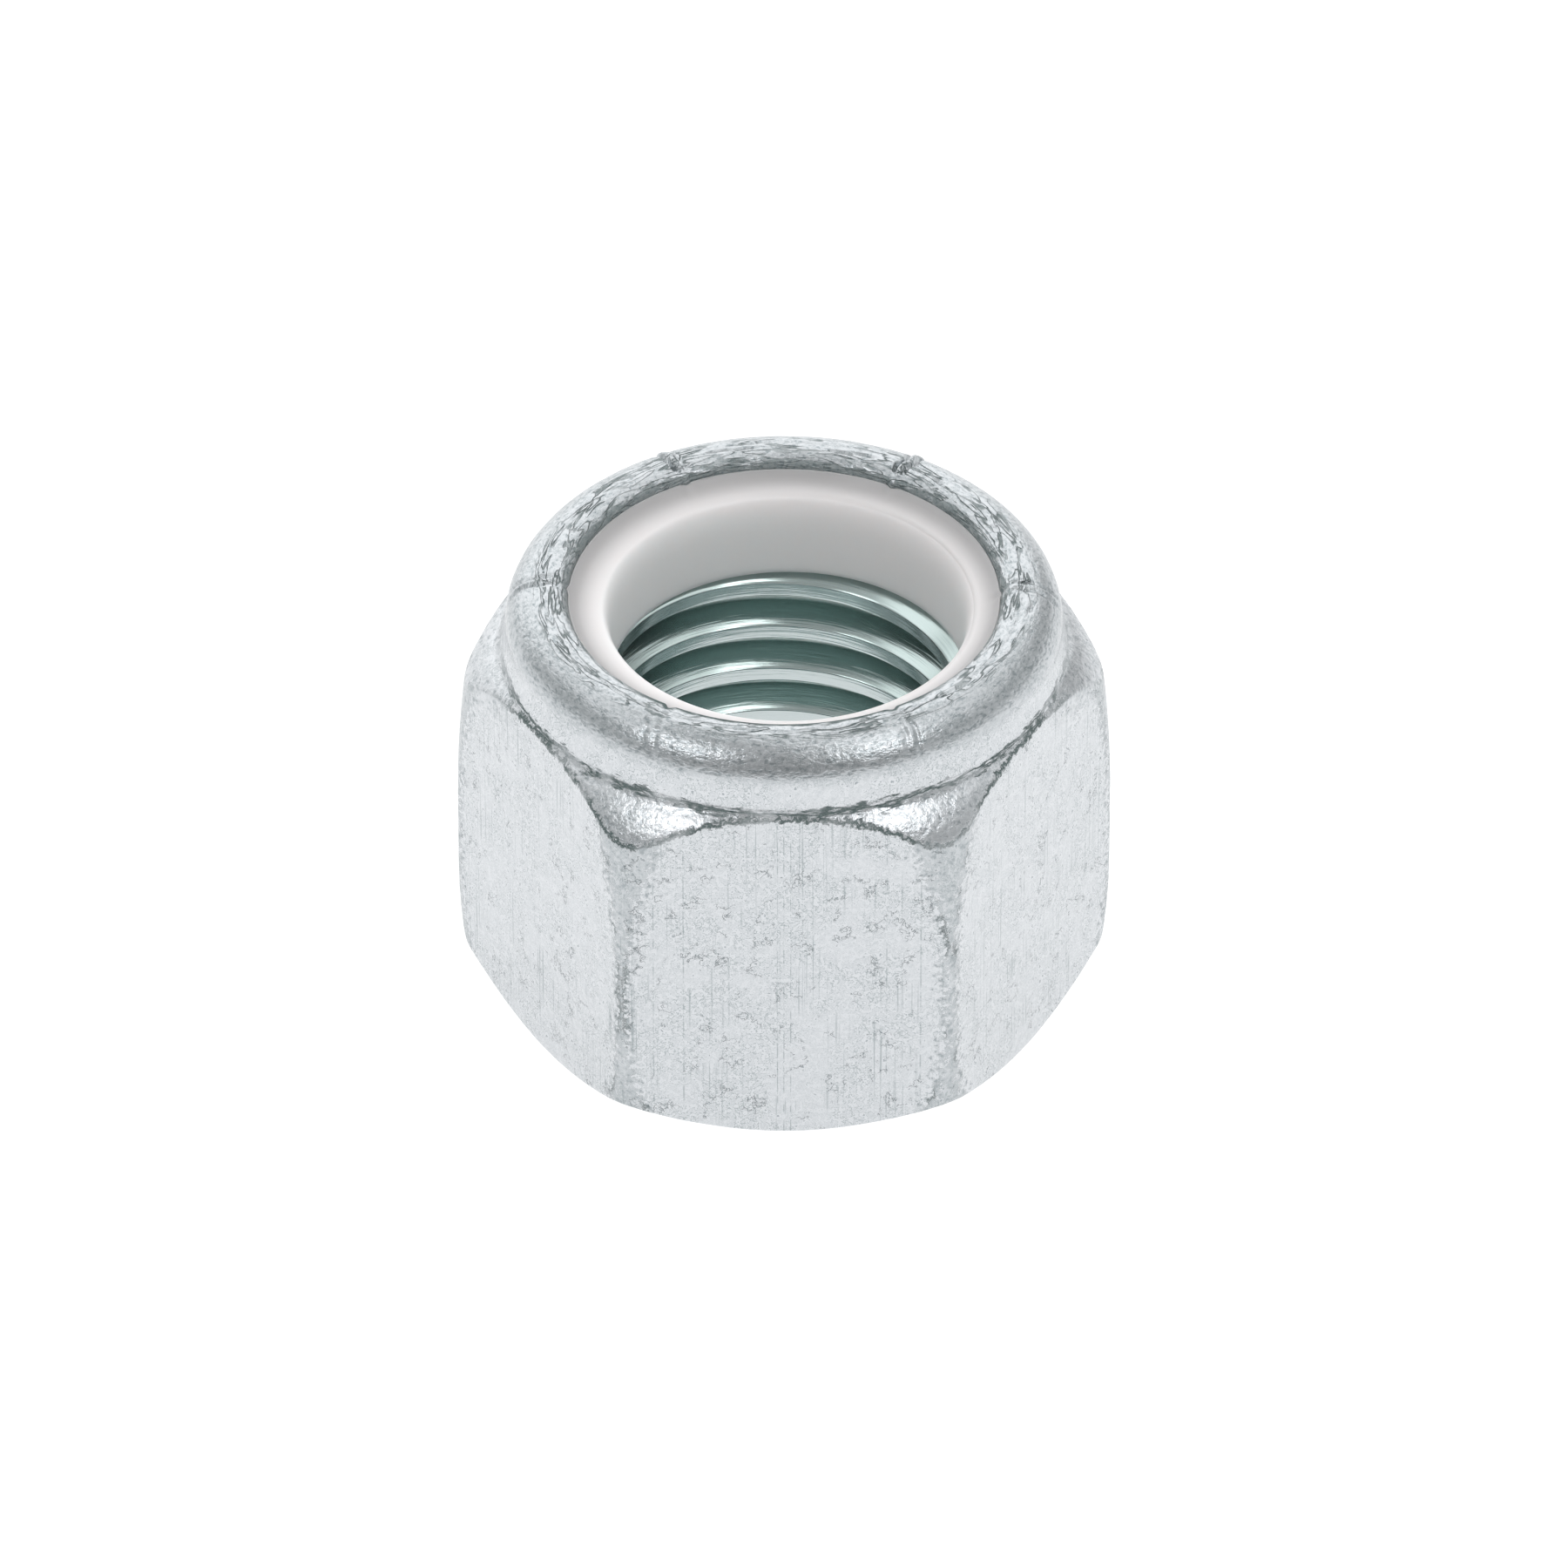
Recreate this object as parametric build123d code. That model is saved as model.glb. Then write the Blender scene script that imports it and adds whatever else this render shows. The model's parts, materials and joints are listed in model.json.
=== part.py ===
from build123d import *
import os
from math import cos, radians, sqrt, tan

# Nylon insert lock nut, 3/4-10 UNC.
#
# A hexagon nut whose top is drawn out into a thin round collar.  The collar is rolled in over a
# nylon ring and traps it in a pocket above the thread.  The bolt cuts its own way through the
# nylon, which grips it and keeps the nut from shaking loose.
#
# The nut stands on its bearing face.  The origin is the middle of that face, +Z runs along the
# thread towards the nylon ring, and two of the six flats face -Y and +Y.

# ---- Driving dimensions, millimetres and degrees ------------------------------------------

# Hexagon
across_flats = 26.99        # 1-1/16 in, the spanner size of a 3/4 in nut
overall_height = 22.2       # bearing face to the top of the rolled collar
corner_rounding = 0.6       # radius along the upright edges between the flats
widest_height = 10.5        # level at which the forged corners reach furthest out
corner_fall_base = 0.3      # how far the corners have drawn in where the base chamfer starts
corner_fall_top = 0.65      # how far they have drawn in where the shoulder starts
bearing_inset = 0.14        # from the middle of a flat in to the rim of the bearing face
base_chamfer_angle = 38     # of the chamfer round the base, from the bearing face
shoulder_angle = 44         # of the shoulder below the collar, from level
shoulder_rounding = 1.5     # radius where the shoulder runs into the corners

# Rolled collar
collar_height = 3.52        # top of the shoulder, at the middle of a flat, to the top of the nut
collar_inset = 0.36         # from the middle of a flat in to the outside of the collar
collar_wall = 1.43          # thickness of the upright part of the collar
collar_root_radius = 0.5    # fillet between the collar and the shoulder
roll_radius = 2.03          # outside radius of the rolled-in edge
lip_reach = 1.47            # how far the lip is turned in from the pocket wall
lip_thickness = 0.6         # of the lip at its inner edge
lip_edge_radius = 0.22      # rounding of that edge, on top

# Nylon ring and its pocket
pocket_depth = 5.6          # top of the nut down to the seat under the ring
pocket_corner_radius = 1.0  # inside radius of the roll, which the ring fills
insert_dish_angle = 17      # slope of the ring's top face, down towards its bore
insert_relief = 0.2         # radial step from the thread's crests out to the ring's bore
insert_edge_radius = 0.3    # rounding at the top of the ring's bore

# Thread, 3/4-10 UNC, right-handed
thread_major = 19.05        # nominal diameter
thread_pitch = 2.54         # ten threads to the inch
thread_minor_allowance = 0.1    # how much the tapped hole is over the basic minor diameter
countersink_margin = 0.4    # radial reach of the countersink beyond the nominal diameter
countersink_angle = 60      # half angle of the countersink in the bearing face

# ---- Sizes that follow from them -----------------------------------------------------------

flat_radius = across_flats / 2
corner_radius = flat_radius / cos(radians(30))
bearing_radius = flat_radius - bearing_inset

base_corner_radius = corner_radius - corner_fall_base
base_corner_height = (base_corner_radius - bearing_radius) * tan(radians(base_chamfer_angle))

shoulder_height = overall_height - collar_height
shoulder_slope = tan(radians(shoulder_angle))
top_corner_radius = corner_radius - corner_fall_top
top_corner_height = shoulder_height - (top_corner_radius - flat_radius) * shoulder_slope

collar_radius = flat_radius - collar_inset
collar_root_height = shoulder_height + collar_inset * shoulder_slope
roll_centre_radius = collar_radius - roll_radius
roll_centre_height = overall_height - roll_radius

pocket_radius = collar_radius - collar_wall
lip_radius = pocket_radius - lip_reach
lip_top_height = roll_centre_height + sqrt(roll_radius**2 - (roll_centre_radius - lip_radius) ** 2)
lip_under_height = lip_top_height - lip_thickness

thread_radius = (thread_major + thread_minor_allowance) / 2 - 5 / 8 * cos(radians(30)) * thread_pitch
countersink_radius = thread_major / 2 + countersink_margin
countersink_depth = (countersink_radius - thread_radius) / tan(radians(countersink_angle))

seat_height = overall_height - pocket_depth
insert_radius = thread_radius + insert_relief


def dish_height(radius):
    """Height of the nylon ring's top face at a distance from the thread's axis."""
    return lip_under_height + (radius - lip_radius) * tan(radians(insert_dish_angle))


# ---- Sections, drawn in the XZ plane as (radius, height), to be turned about the Z axis ------


def round_corner(section, corner, radius):
    """Round the corner of a section that lies nearest to a (radius, height) point."""
    vertex = section.vertices().sort_by_distance((corner[0], 0, corner[1]))[0]
    return fillet(vertex, radius)


def body_section():
    """Steel nut: countersink, forged outside, rolled collar, pocket, seat and bore."""
    base_corner = (base_corner_radius, base_corner_height)
    widest = (corner_radius, widest_height)
    top_corner = (top_corner_radius, top_corner_height)
    collar_root = (collar_radius, collar_root_height)
    roll_start = (collar_radius, roll_centre_height)
    roll_top = (roll_centre_radius, overall_height)
    lip_top = (lip_radius, lip_top_height)
    pocket_corner = (pocket_radius, dish_height(pocket_radius))

    with BuildSketch(Plane.XZ) as section:
        with BuildLine():
            Polyline((countersink_radius, 0), (bearing_radius, 0), base_corner)
            TangentArc(widest, base_corner, tangent=(0, -1))
            TangentArc(widest, top_corner, tangent=(0, 1))
            Polyline(top_corner, collar_root, roll_start)
            TangentArc(roll_start, roll_top, tangent=(0, 1))
            TangentArc(roll_top, lip_top, tangent=(-1, 0))
            Polyline(lip_top, (lip_radius, lip_under_height), pocket_corner)
            Polyline(
                pocket_corner,
                (pocket_radius, seat_height),
                (thread_radius, seat_height),
                (thread_radius, countersink_depth),
                (countersink_radius, 0),
            )
        make_face()

    outline = section.sketch
    for corner, radius in (
        (top_corner, shoulder_rounding),
        (collar_root, collar_root_radius),
        (lip_top, lip_edge_radius),
        (pocket_corner, pocket_corner_radius),
    ):
        outline = round_corner(outline, corner, radius)
    return outline


def insert_section():
    """Nylon ring: it fills the pocket, and its dished top comes out from under the lip."""
    pocket_corner = (pocket_radius, dish_height(pocket_radius))
    bore_edge = (insert_radius, dish_height(insert_radius))

    with BuildSketch(Plane.XZ) as section:
        with BuildLine():
            Polyline(
                (insert_radius, seat_height),
                (pocket_radius, seat_height),
                pocket_corner,
                bore_edge,
                close=True,
            )
        make_face()

    outline = round_corner(section.sketch, pocket_corner, pocket_corner_radius)
    return round_corner(outline, bore_edge, insert_edge_radius)


# ---- Solids -----------------------------------------------------------------------------------


def hexagon_bar():
    """Bar with the nut's six flats and its rounded upright edges."""
    hexagon = RegularPolygon(radius=flat_radius, side_count=6, major_radius=False)
    return extrude(fillet(hexagon.vertices(), corner_rounding), overall_height)


def nut_body():
    """The turned shape, cut to a hexagon."""
    return revolve(body_section(), Axis.Z) & hexagon_bar()


def nylon_insert():
    return revolve(insert_section(), Axis.Z)


os.makedirs("parts", exist_ok=True)
export_step(nut_body(), "parts/nut_body.step")
export_step(nylon_insert(), "parts/nylon_insert.step")
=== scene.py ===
import json
from math import atan2, ceil, cos, degrees, exp, pi, radians, sin, sqrt, tan
from types import SimpleNamespace

import bmesh
import bpy
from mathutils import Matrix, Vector, noise


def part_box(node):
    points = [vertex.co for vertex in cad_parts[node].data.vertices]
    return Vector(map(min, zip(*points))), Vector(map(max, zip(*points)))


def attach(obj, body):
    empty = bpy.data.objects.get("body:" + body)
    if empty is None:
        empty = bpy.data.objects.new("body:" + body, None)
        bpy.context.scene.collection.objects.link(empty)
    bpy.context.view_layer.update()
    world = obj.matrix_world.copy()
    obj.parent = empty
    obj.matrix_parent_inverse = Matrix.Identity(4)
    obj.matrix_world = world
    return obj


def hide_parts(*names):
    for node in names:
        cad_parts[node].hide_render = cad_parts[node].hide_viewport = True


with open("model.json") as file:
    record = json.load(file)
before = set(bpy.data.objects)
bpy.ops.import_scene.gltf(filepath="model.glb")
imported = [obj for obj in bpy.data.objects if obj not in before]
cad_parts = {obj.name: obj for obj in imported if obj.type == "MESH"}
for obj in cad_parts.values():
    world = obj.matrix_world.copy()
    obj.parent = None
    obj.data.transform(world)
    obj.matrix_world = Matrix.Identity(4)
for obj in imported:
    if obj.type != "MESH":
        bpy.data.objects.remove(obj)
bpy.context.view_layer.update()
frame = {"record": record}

# Nylon insert lock nut.  Sizes are in millimetres and angles in radians until a mesh is finished,
# when it is scaled to metres.  Azimuth runs from +X, counter-clockwise seen from above.

MM = 0.001


def node_box(node):
    """Lowest and highest corner of a CAD node, in millimetres."""
    low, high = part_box(node)
    return low / MM, high / MM


_, BODY_HIGH = node_box("nut_body")
RING_LOW, RING_HIGH = node_box("nylon_insert")
MOUNTS = {mount["name"]: mount for mount in frame["record"]["mounts"]}

# ---- Sizes of the steel body ---------------------------------------------------------------------

FLAT = BODY_HIGH.y                      # from the axis to a flat
HEIGHT = BODY_HIGH.z                    # bearing face to the top of the rolled collar
SEAT = RING_LOW.z                       # level of the seat under the nylon ring
POCKET = RING_HIGH.x                    # radius of the pocket wall round the ring
CREST = MOUNTS["bolt_thread"]["dims"]["r_mm"]     # radius of the thread's crests
COUNTERSINK = 9.925                     # rim of the countersink in the bearing face
COUNTERSINK_SLOPE = tan(radians(60))

BEARING = FLAT - 0.14                   # rim of the bearing face
BASE_SLOPE = tan(radians(38))           # chamfer round the base, rise over reach
SHOULDER = HEIGHT - 3.52                # level of the shoulder at the middle of a flat
SHOULDER_SLOPE = 0.7                    # there; it steepens towards the corners
SHOULDER_BEND = 0.265                   # how fast it steepens, per millimetre
CORNER_RADIUS = 0.58                    # rounding of the upright edges at mid height
CORNER_FULL_TOP = 9.5                   # level above which the forged corners round off more
CORNER_FULL_BASE = 7.0                  # and the level below which they do
CORNER_SPREAD_TOP = 0.046               # how fast their rounding grows upwards
CORNER_SPREAD_BASE = 0.0097             # and downwards
EDGE_BLEND = 0.07                       # softness of the edges between flat, shoulder and base

ROLL = 2.03                             # outside radius of the rolled-in collar
WALL = FLAT - 0.36                      # radius of the collar's upright wall
ROLL_RADIUS = WALL - ROLL               # where the roll is centred
ROLL_HEIGHT = HEIGHT - ROLL
WALL_FLARE = 0.2                        # how far the wall widens down to its root
ROOT = SHOULDER + 0.3                   # level of the collar's root
LIP = 10.235                            # radius of the lip's inner edge, before it was crimped
LIP_SET = 0.06                          # how far the crimping closed it
LIP_SHIFT = 0.2                         # the lip was rolled this far off centre, towards -Y
LIP_ROUND = 0.45                        # reach of its rounded inner edge
LIP_UNDER = 21.40                       # level of the lip's underside at that edge
LIP_BREAK = ((0.1, 0.0), (0.02, 0.04))  # broken edge there: out from the edge, above that level
LIP_FACE = 0.12                         # height above that level where its upright face starts
INNER_CORNER = (                        # inside of the roll: in from the pocket wall, level
    (0.0, 20.4), (0.12, 20.9), (0.45, 21.3), (0.95, LIP_UNDER + 0.14),
)

# Thread: 3/4-10 UNC, right-handed
PITCH = 2.54
CREST_HALF = 0.36                       # half the width of a crest
CREST_LEVEL = 12.585                    # middle of a crest at azimuth zero
ROOT_RADIUS = 9.59                      # radius of the groove's bottom
FLANK = tan(radians(60))                # radial reach of a flank over its height
CREST_BLEND = 0.018                     # softness of the crest's edges,
ROOT_BLEND = 0.2                        # of the groove's bottom,
RIM_BLEND = 0.03                        # and of the edge between thread and countersink


def smooth_max(a, b, blend):
    """The larger of two lengths, with the corner between them blended over a length."""
    return (a + b + sqrt((a - b) ** 2 + blend * blend)) / 2


def smooth_min(a, b, blend):
    """The smaller of two lengths, blended in the same way."""
    return (a + b - sqrt((a - b) ** 2 + blend * blend)) / 2


def turned(azimuth, step):
    """Angle from the nearest multiple of a step, from -step/2 to step/2."""
    return (azimuth + step / 2) % step - step / 2


FORGED_WAVE = 0.014                     # height of the forged skin's unevenness
FORGED_LENGTH = 1.6                     # and its wavelength, with finer waves on it


def forged_wave(azimuth, radius, height):
    """How far the skin stands off its true form at a point."""
    point = Vector((radius * cos(azimuth), radius * sin(azimuth), height)) / FORGED_LENGTH
    return FORGED_WAVE * (noise.noise(point) + 0.5 * noise.noise(point * 2.3))


# ---- Outline of the steel body -------------------------------------------------------------------


def corner_rounding(height):
    """Radius along the upright edges: least at mid height, where the forging filled best."""
    above = max(0.0, height - CORNER_FULL_TOP)
    below = max(0.0, CORNER_FULL_BASE - height)
    return CORNER_RADIUS + CORNER_SPREAD_TOP * above**2 + CORNER_SPREAD_BASE * below**3


def hexagon_radius(azimuth, height):
    """Distance from the axis to the rounded hexagon."""
    off_corner = abs(turned(azimuth, pi / 3))
    rounding = corner_rounding(height)
    centre = (FLAT - rounding) / cos(pi / 6)
    tangent_angle = atan2(rounding * sin(pi / 6), centre + rounding * cos(pi / 6))
    if off_corner > tangent_angle:
        return FLAT / cos(pi / 6 - off_corner)
    across = centre * sin(off_corner)
    return centre * cos(off_corner) + sqrt(rounding**2 - across**2)


def shoulder_radius(height):
    """Radius of the forged shoulder at a height."""
    drop = SHOULDER - height
    steepness = sqrt(max(0.0, SHOULDER_SLOPE**2 + 4 * SHOULDER_BEND * drop))
    return FLAT + (steepness - SHOULDER_SLOPE) / (2 * SHOULDER_BEND)


def shoulder_height(radius):
    """Height of the forged shoulder at a radius."""
    reach = radius - FLAT
    return SHOULDER - SHOULDER_SLOPE * reach - SHOULDER_BEND * reach**2


def wall_radius(height):
    """Radius of the collar's wall, which widens a little down to its root."""
    share = min(1.0, max(0.0, (ROLL_HEIGHT - height) / (ROLL_HEIGHT - ROOT)))
    return WALL + WALL_FLARE * share**1.5


def outer_radius(azimuth, height):
    """Outside of the nut below the roll of the collar."""
    base = BEARING + height / BASE_SLOPE
    body = smooth_min(hexagon_radius(azimuth, height), base, EDGE_BLEND)
    body = smooth_min(body, shoulder_radius(height), EDGE_BLEND)
    return smooth_max(body, wall_radius(height), EDGE_BLEND)


def flat_span(azimuth):
    """Heights at which the base chamfer ends and the shoulder starts, at an azimuth."""
    low, high = 1.0, SHOULDER - 1.0     # near enough to settle in six rounds
    for _ in range(6):
        low = (hexagon_radius(azimuth, low) - BEARING) * BASE_SLOPE
        high = shoulder_height(hexagon_radius(azimuth, high))
    return low, high


# Rows of the outside: shares of the height of each part, and millimetres from an edge
WALL_ROWS = (1, 0.75, 0.5, 0.3, 0.16, 0.07, 0)
SHOULDER_ROWS = (0.9, 0.75, 0.58, 0.42, 0.27, 0.15, 0.06)
EDGE_ROWS = (0, 0.04, 0.09, 0.17, 0.32, 0.6)
FLAT_ROWS = 11
CHAMFER_ROWS = (0.88, 0.7, 0.5, 0.3, 0.12, 0)


def outer_heights(azimuth):
    """Heights of the rows down the outside, from the roll of the collar to the bearing face."""
    low, high = flat_span(azimuth)
    wall = [ROOT + (ROLL_HEIGHT - ROOT) * share for share in WALL_ROWS]
    shoulder = [high + (ROOT - high) * share for share in SHOULDER_ROWS]
    top = [high - step for step in EDGE_ROWS]
    base = [low + step for step in EDGE_ROWS[::-1]]
    spacing = (base[0] - top[-1]) / (FLAT_ROWS + 1)
    middle = [top[-1] + spacing * (step + 1) for step in range(FLAT_ROWS)]
    chamfer = [low * share for share in CHAMFER_ROWS]
    return wall + shoulder + top + middle + base + chamfer


# ---- Rolled lip ---------------------------------------------------------------------------------

CRIMPS = (                              # azimuth in degrees, depth of the pleat, notch in the edge
    (-120.5, 0.03, 0.26), (-62.2, 0.05, 0.20), (-0.4, 0.10, 0.10), (58.6, 0.32, -0.12),
    (117.4, 0.30, -0.12), (177.0, 0.12, 0.10),
)
PLEAT_HALF = radians(2.3)               # half the width of a pleat
GROOVE_PLACE = 0.6                      # its two grooves, as shares of that half width
GROOVE_HALF = 0.36
RIDGE_HALF = 0.42                       # the ridge between them
RIDGE_SHARE = 0.35                      # and its height, as a share of the grooves' depth
PLEAT_WANDER = 0.35                     # how far a pleat wanders off its line, as such a share,
WANDER_LENGTH = 0.7                     # over this length
PLEAT_UNEVEN = 0.9                      # how much deeper its grooves get by turns
UNEVEN_LENGTH = 0.5
NOTCH_HALF = radians(1.9)               # half the width of the notch; a negative one juts in
# Nicks in the lip: azimuth, radius, half width, half reach, depth and lean.  The azimuth, the
# half width and the lean are in degrees.
NICKS = (
    (0.9, 11.38, 0.9, 0.38, 0.40, 0.0), (22.5, 10.6, 0.9, 0.75, 0.16, 1.1),
    (48.0, 11.0, 1.1, 0.16, 0.22, 2.5), (-9.0, 11.7, 2.2, 0.14, 0.08, 1.5),
    (71.0, 10.9, 3.4, 0.13, 0.13, -4.0), (104.0, 11.0, 3.6, 0.12, 0.13, 4.0),
    (150.0, 11.2, 3.0, 0.15, 0.10, 5.0), (-75.0, 11.6, 3.5, 0.12, 0.08, 6.0),
)
NICK_SIDES = 2.2                        # how steep their sides are
LEDGE = 11.32                           # radius of the line that the closing tool left
LEDGE_HALF = 0.09
LEDGE_DEPTH = 0.06
ROLL_STEPS = 38                         # rows over the roll
EDGE_STEPS = 8                          # and over the rounding of the lip's edge


def bell(off):
    """A smooth hump, 1 in the middle and 0 from 1 outwards."""
    return (1 - off * off) ** 2 if abs(off) < 1 else 0.0


def notch(azimuth):
    """How far the lip's edge is set back at an azimuth."""
    return sum(deep * bell(turned(azimuth - radians(middle), 2 * pi) / NOTCH_HALF)
               for middle, _, deep in CRIMPS)


def pleat(azimuth, radius):
    """Depth pressed into the roll by the crimps: two uneven grooves and a ridge between them."""
    depth = 0.0
    for number, (middle, deep, _) in enumerate(CRIMPS):
        wander = PLEAT_WANDER * noise.noise(Vector((radius / WANDER_LENGTH, number * 3.7, 0)))
        off = turned(azimuth - radians(middle), 2 * pi) / PLEAT_HALF + wander
        place = Vector((radius / UNEVEN_LENGTH, number * 5.1, 4))
        uneven = 1 + PLEAT_UNEVEN * noise.noise(place)
        grooves = bell((off - GROOVE_PLACE) / GROOVE_HALF) * uneven
        grooves += bell((off + GROOVE_PLACE) / GROOVE_HALF) * (1.6 - 0.8 * uneven)
        depth += deep * (grooves - RIDGE_SHARE * bell(off / RIDGE_HALF))
    return depth


def nicks(azimuth, radius):
    """Depth of the nicks that handling and the closing tool left on the lip."""
    depth = 0.0
    for middle, at, half, reach, deep, lean in NICKS:
        along = (radius - at) / reach
        across = degrees(turned(azimuth - radians(middle), 2 * pi)) / half - lean * along / 2
        pressed = min(1.0, NICK_SIDES * bell(along)) * min(1.0, NICK_SIDES * bell(across))
        depth = max(depth, deep * pressed)
    return depth


def lip_edge(azimuth):
    """Radius of the lip's inner edge."""
    return LIP - LIP_SET - LIP_SHIFT * sin(azimuth) + notch(azimuth)


def inner_corner():
    """Rows up the pocket wall and round the inside of the roll, which the nylon fills."""
    return [(POCKET, SEAT)] + [(POCKET - inwards, level) for inwards, level in INNER_CORNER]


def lip_rows(azimuth):
    """Rows from the seat's outer corner round the pocket and the lip, to the top of the wall."""
    edge = lip_edge(azimuth)
    start = atan2(sqrt(ROLL**2 - (ROLL_RADIUS - edge - LIP_ROUND) ** 2),
                  edge + LIP_ROUND - ROLL_RADIUS)

    rows = inner_corner() + [(edge + out, LIP_UNDER + above) for out, above in LIP_BREAK]
    # The edge's rounding: from upright at the bottom to the slope of the roll at the top
    low = Vector((edge, LIP_UNDER + LIP_FACE))
    high = Vector((ROLL_RADIUS + ROLL * cos(start), ROLL_HEIGHT + ROLL * sin(start)))
    corner = Vector((edge, high.y - LIP_ROUND / tan(pi - start)))
    for step in range(EDGE_STEPS + 1):
        share = step / EDGE_STEPS
        point = low * (1 - share) ** 2 + corner * 2 * share * (1 - share) + high * share**2
        rows.append((point.x, point.y))
    # The roll, with its pleats, which fade out where it turns down into the wall,
    # and the closing tool's line and nicks
    for step in range(1, ROLL_STEPS):
        angle = start * (1 - step / ROLL_STEPS)
        press = pleat(azimuth, ROLL_RADIUS + ROLL * cos(angle))
        deep = ROLL - press * min(1.0, 2.5 * sin(angle) ** 2)
        radius = ROLL_RADIUS + deep * cos(angle)
        height = ROLL_HEIGHT + deep * sin(angle)
        off_ledge = (radius - LEDGE) / LEDGE_HALF
        height -= LEDGE_DEPTH / (1 + off_ledge**2) ** 2 + nicks(azimuth, radius)
        rows.append((radius, height))

    waved = []
    for radius, height in rows:
        on_top = radius > edge + 0.2 and height > LIP_UNDER + 0.2
        if on_top or radius > POCKET + 0.3:
            radius += forged_wave(azimuth, radius, height)
        waved.append((radius, height))
    return waved


# ---- Thread -------------------------------------------------------------------------------------

# Rows over one pitch, from the middle of a crest.  They are closest at the crest's edges.
THREAD_ROWS = (
    -1.27, -1.1, -1.02, -0.86, -0.62, -0.42, -0.375, -0.345, -0.3, 0, 0.3, 0.345, 0.375, 0.42,
    0.55, 0.7, 0.86, 1.02, 1.1,
)
LAST_TURN = 2                           # the last crest, counted up from CREST_LEVEL


def bore_radius(azimuth, height):
    """Distance from the axis to the threaded wall or the countersink."""
    off_crest = abs(turned(height - CREST_LEVEL - PITCH * azimuth / (2 * pi), PITCH))
    flank = CREST + (off_crest - CREST_HALF) * FLANK
    thread = smooth_min(smooth_max(CREST, flank, CREST_BLEND), ROOT_RADIUS, ROOT_BLEND)
    countersink = COUNTERSINK - height * COUNTERSINK_SLOPE
    return smooth_max(thread, countersink, RIM_BLEND) if height > 0 else COUNTERSINK


def bore_rows(azimuth):
    """Rows up the threaded wall.  They climb with the thread, and stop at the base and the seat."""
    rows = []
    first_turn = ceil(-(CREST_LEVEL + 2 * PITCH) / PITCH)
    for turn in range(first_turn, LAST_TURN + 1):
        for offset in THREAD_ROWS:
            height = CREST_LEVEL + PITCH * (turn + azimuth / (2 * pi)) + offset
            height = min(max(height, 0.0), SEAT)
            rows.append((bore_radius(azimuth, height), height))
    return rows


def body_section(azimuth):
    """The steel body's section at an azimuth, as (radius, height) rows in a closed loop."""
    outside = [(outer_radius(azimuth, height), height) for height in outer_heights(azimuth)]
    skin = [(radius + forged_wave(azimuth, radius, height), height) for radius, height in outside]
    skin[-1] = (BEARING, 0.0)           # the bearing face stays flat
    return bore_rows(azimuth) + lip_rows(azimuth) + skin


BORE_ROWS = len(bore_rows(0))
LIP_ROWS = len(lip_rows(0))
SIDE = 2 * FLAT * tan(pi / 6)           # width of one side of the hexagon
FAR = 3.0                               # distance at which a mark stops counting


def body_marks(azimuth, radius, height, row):
    """Where a point lies, for the material: in the thread, and in millimetres from the edges.

    corner_mm is the distance from the rounding of the nearest upright edge, shoulder_mm the
    height above the edge of the shoulder, lip_mm the distance outside the lip's edge, and
    girth_mm the way round the hexagon.
    """
    off_corner = abs(turned(azimuth, pi / 3))
    rounding = corner_rounding(min(height, SHOULDER))
    centre = (FLAT - rounding) / cos(pi / 6)
    tangent_angle = atan2(rounding * sin(pi / 6), centre + rounding * cos(pi / 6))
    side = int(azimuth // (pi / 3))
    across = FLAT * tan(azimuth - side * pi / 3 - pi / 6)
    in_bore = row < BORE_ROWS
    off_crest = abs(turned(height - CREST_LEVEL - PITCH * azimuth / (2 * pi), PITCH))
    on_lip = BORE_ROWS <= row < BORE_ROWS + LIP_ROWS
    return {
        "thread": 1.0 if in_bore else 0.0,
        "crest": 1.0 if in_bore and off_crest < CREST_HALF + 0.01 else 0.0,
        "corner_mm": FAR if in_bore else (off_corner - tangent_angle) * radius,
        "shoulder_mm": -FAR if in_bore else max(-FAR, min(FAR, height - flat_span(azimuth)[1])),
        "lip_mm": min(FAR, radius - lip_edge(azimuth)) if on_lip else FAR,
        "girth_mm": side * SIDE + across,
    }


# ---- Nylon ring ---------------------------------------------------------------------------------

RING_BORE = 8.356                       # radius of its bore
RING_BORE_SHIFT = 0.19                  # the bore was moulded this far off centre, towards +X
RING_TOP = 20.86                        # level of the dished top face at the bore
DISH_SLOPE = (LIP_UNDER - RING_TOP) / (LIP - RING_BORE)
PILLOW = 0.30                           # how far the nylon stands up against the lip's edge
PILLOW_REACH = 0.32                     # and how far in that is felt
DISH_SINK = 0.02                        # how far the dish lies below the line from bore to lip
LIP_GAP = 0.01                          # least distance between nylon and lip
DISH_ROWS = (-0.34, -0.2, -0.05, 0.03, 0.08, 0.16, 0.28, 0.42, 0.6)     # in from the lip's edge
DISH_RADII = (9.2, 8.95)                # and the last two rows of the dish
RING_EDGE = 0.42                        # reach of the rounding at the bore's top edge
LEAD_IN = 1.7                           # and how far down the bore it fades out
LEAD_IN_STEPS = 12
RING_FOOT = 0.08                        # broken edge at the foot of the bore
BORE_LEVELS = (RING_TOP - 2.4, SEAT + 0.9, SEAT + 0.3, SEAT + RING_FOOT)


def dish_level(radius):
    """Level of the dished top, which rises in a straight line from the bore to the lip."""
    return RING_TOP + (radius - RING_BORE) * DISH_SLOPE - DISH_SINK


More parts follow.
